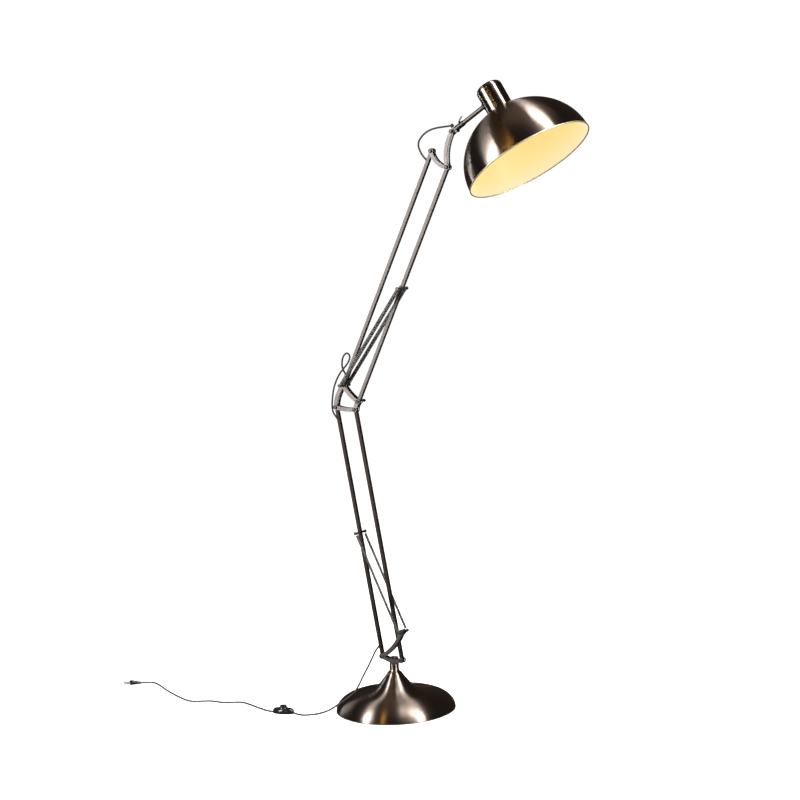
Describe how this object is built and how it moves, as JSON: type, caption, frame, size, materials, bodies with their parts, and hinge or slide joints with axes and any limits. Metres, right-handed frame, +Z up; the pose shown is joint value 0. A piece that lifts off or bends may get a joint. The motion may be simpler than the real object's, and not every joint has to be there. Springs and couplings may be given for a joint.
{
  "type": "adjustable arm floor lamp",
  "caption": "Floor lamp with two sprung parallel-link arms on a weighted round base, a spun dome shade, and a cord with a foot switch.",
  "frame": {"origin": "centre of the base's underside, on the floor", "axes": "+Z up; +X forward, from the stem towards the shade; the arms fold in the XZ plane"},
  "size_m": [1.5488, 0.3446, 1.6856],
  "materials": {
    "bronze_shell": "dark bronze, brushed, lacquered",
    "bronze_shade": "dark bronze outside, warm white inside",
    "rod_steel": "satin",
    "bracket_steel": "satin grey-brown",
    "black_steel": "satin black",
    "spring_steel": "bright drawn wire",
    "zinc_steel": "zinc plated",
    "iron": "rough cast",
    "nylon": "natural nylon",
    "felt": "pressed felt",
    "cord_sheath": "matt dark grey",
    "switch_plastic": "gloss black",
    "bakelite": "moulded",
    "brass": "turned",
    "bulb_glass": "opal"
  },
  "bodies": {
    "base": {"base_shell": "bronze_shell", "base_plate": "zinc_steel", "base_weight": "iron", "base_pad": "felt", "base_bolt": "zinc_steel", "stem_socket": "zinc_steel", "neck_bush": "nylon", "cord_floor": "cord_sheath", "cord_tail": "cord_sheath", "switch_base": "switch_plastic", "switch_cover": "switch_plastic", "switch_contacts": "brass", "plug_body": "switch_plastic", "plug_pins": "zinc_steel"},
    "foot_button": {"switch_button": "switch_plastic"},
    "lower_bracket": {"swivel_stem": "bracket_steel", "lower_plate_near": "bracket_steel", "lower_plate_far": "bracket_steel", "lower_pivot_bolts": "black_steel", "lower_washers": "nylon", "spring_anchors": "black_steel", "lower_springs": "spring_steel", "cord_drop": "cord_sheath"},
    "lower_rear_arm": {"lower_rear_rod": "rod_steel", "lower_spring_pin": "black_steel", "lower_cord_reliefs": "cord_sheath", "cord_exit": "cord_sheath"},
    "lower_front_arm": {"lower_front_rod": "rod_steel"},
    "elbow": {"elbow_plate_near": "bracket_steel", "elbow_plate_far": "bracket_steel", "elbow_bolts": "black_steel", "elbow_spring_pin": "black_steel", "elbow_washers": "nylon", "upper_springs": "spring_steel", "cord_elbow_lower": "cord_sheath"},
    "elbow_knob": {"elbow_wing_nut": "black_steel"},
    "upper_rear_arm": {"upper_rear_rod": "rod_steel", "upper_cord_reliefs": "cord_sheath", "cord_elbow_upper": "cord_sheath"},
    "upper_front_arm": {"upper_front_rod": "rod_steel", "upper_spring_collar": "black_steel"},
    "head_bracket": {"head_plate_near": "bracket_steel", "head_plate_far": "bracket_steel", "head_bolts": "black_steel", "head_washers": "nylon", "cord_head_lower": "cord_sheath"},
    "head_knob": {"head_wing_nut": "black_steel"},
    "head_fork": {"head_sleeve": "bracket_steel", "cord_grommet": "cord_sheath", "cord_head_upper": "cord_sheath"},
    "clamp_screw": {"arm_clamp_screw": "black_steel"},
    "shade": {"arm_tube": "bracket_steel", "arm_nuts": "black_steel", "shade_dome": "bronze_shade", "lamp_cap": "bronze_shade", "holder_plate": "zinc_steel", "lamp_holder": "bakelite", "shade_ring": "bakelite", "bulb_glass": "bulb_glass", "bulb_cap": "brass"}
  },
  "joints": [
    {"name": "base_swivel", "type": "hinge", "parent": "base", "child": "lower_bracket", "pos_m": [0, 0, 0.13], "axis": [0, 0, 1], "range_deg": [-90, 90], "deforming": ["cord_drop"]},
    {"name": "lower_arm", "type": "hinge", "parent": "lower_bracket", "child": "lower_rear_arm", "pos_m": [-0.036, 0, 0.1485], "axis": [0, 1, 0], "range_deg": [-25, 50], "deforming": ["lower_springs", "cord_exit"]},
    {"name": "lower_front", "type": "hinge", "parent": "lower_bracket", "child": "lower_front_arm", "pos_m": [0.027, 0, 0.142], "axis": [0, 1, 0], "range_deg": [-25, 50]},
    {"name": "elbow_level", "type": "hinge", "parent": "lower_rear_arm", "child": "elbow", "pos_m": [-0.15153, 0, 0.8389], "axis": [0, 1, 0], "range_deg": [-50, 25], "deforming": ["cord_elbow_lower"]},
    {"name": "upper_arm", "type": "hinge", "parent": "elbow", "child": "upper_rear_arm", "pos_m": [-0.12403, 0, 0.8995], "axis": [0, 1, 0], "range_deg": [-30, 65], "deforming": ["upper_springs", "cord_elbow_upper"]},
    {"name": "upper_front", "type": "hinge", "parent": "elbow", "child": "upper_front_arm", "pos_m": [-0.07753, 0, 0.8543], "axis": [0, 1, 0], "range_deg": [-30, 65]},
    {"name": "head_level", "type": "hinge", "parent": "upper_rear_arm", "child": "head_bracket", "pos_m": [0.19104, 0, 1.51786], "axis": [0, 1, 0], "range_deg": [-65, 30], "deforming": ["cord_head_lower"]},
    {"name": "head_tilt", "type": "hinge", "parent": "head_bracket", "child": "head_fork", "pos_m": [0.25644, 0, 1.56396], "axis": [0, 1, 0], "range_deg": [-75, 20], "deforming": ["cord_head_upper"]},
    {"name": "shade_swivel", "type": "hinge", "parent": "head_fork", "child": "shade", "pos_m": [0.25644, 0, 1.56396], "axis": [0.8643, 0, 0.503], "range_deg": [-60, 60]},
    {"name": "elbow_knob_turn", "type": "hinge", "parent": "elbow", "child": "elbow_knob", "pos_m": [-0.07753, 0.01, 0.8543], "axis": [0, 1, 0], "range_deg": [-180, 180]},
    {"name": "head_knob_turn", "type": "hinge", "parent": "head_bracket", "child": "head_knob", "pos_m": [0.25644, 0.01, 1.56396], "axis": [0, 1, 0], "range_deg": [-180, 180]},
    {"name": "clamp_screw_turn", "type": "hinge", "parent": "head_fork", "child": "clamp_screw", "pos_m": [0.27733, 0, 1.58769], "axis": [-0.503, 0, 0.8643], "range_deg": [-180, 180]},
    {"name": "foot_button_press", "type": "slide", "parent": "base", "child": "foot_button", "axis": [0, 0, -1], "range_m": [0, 0.003], "stiffness_N_per_m": 400, "springref_m": -0.0005}
  ],
  "couplings": [
    {"joint": "lower_front", "follows": "lower_arm", "ratio": 1},
    {"joint": "elbow_level", "follows": "lower_arm", "ratio": -1},
    {"joint": "upper_front", "follows": "upper_arm", "ratio": 1},
    {"joint": "head_level", "follows": "upper_arm", "ratio": -1}
  ]
}
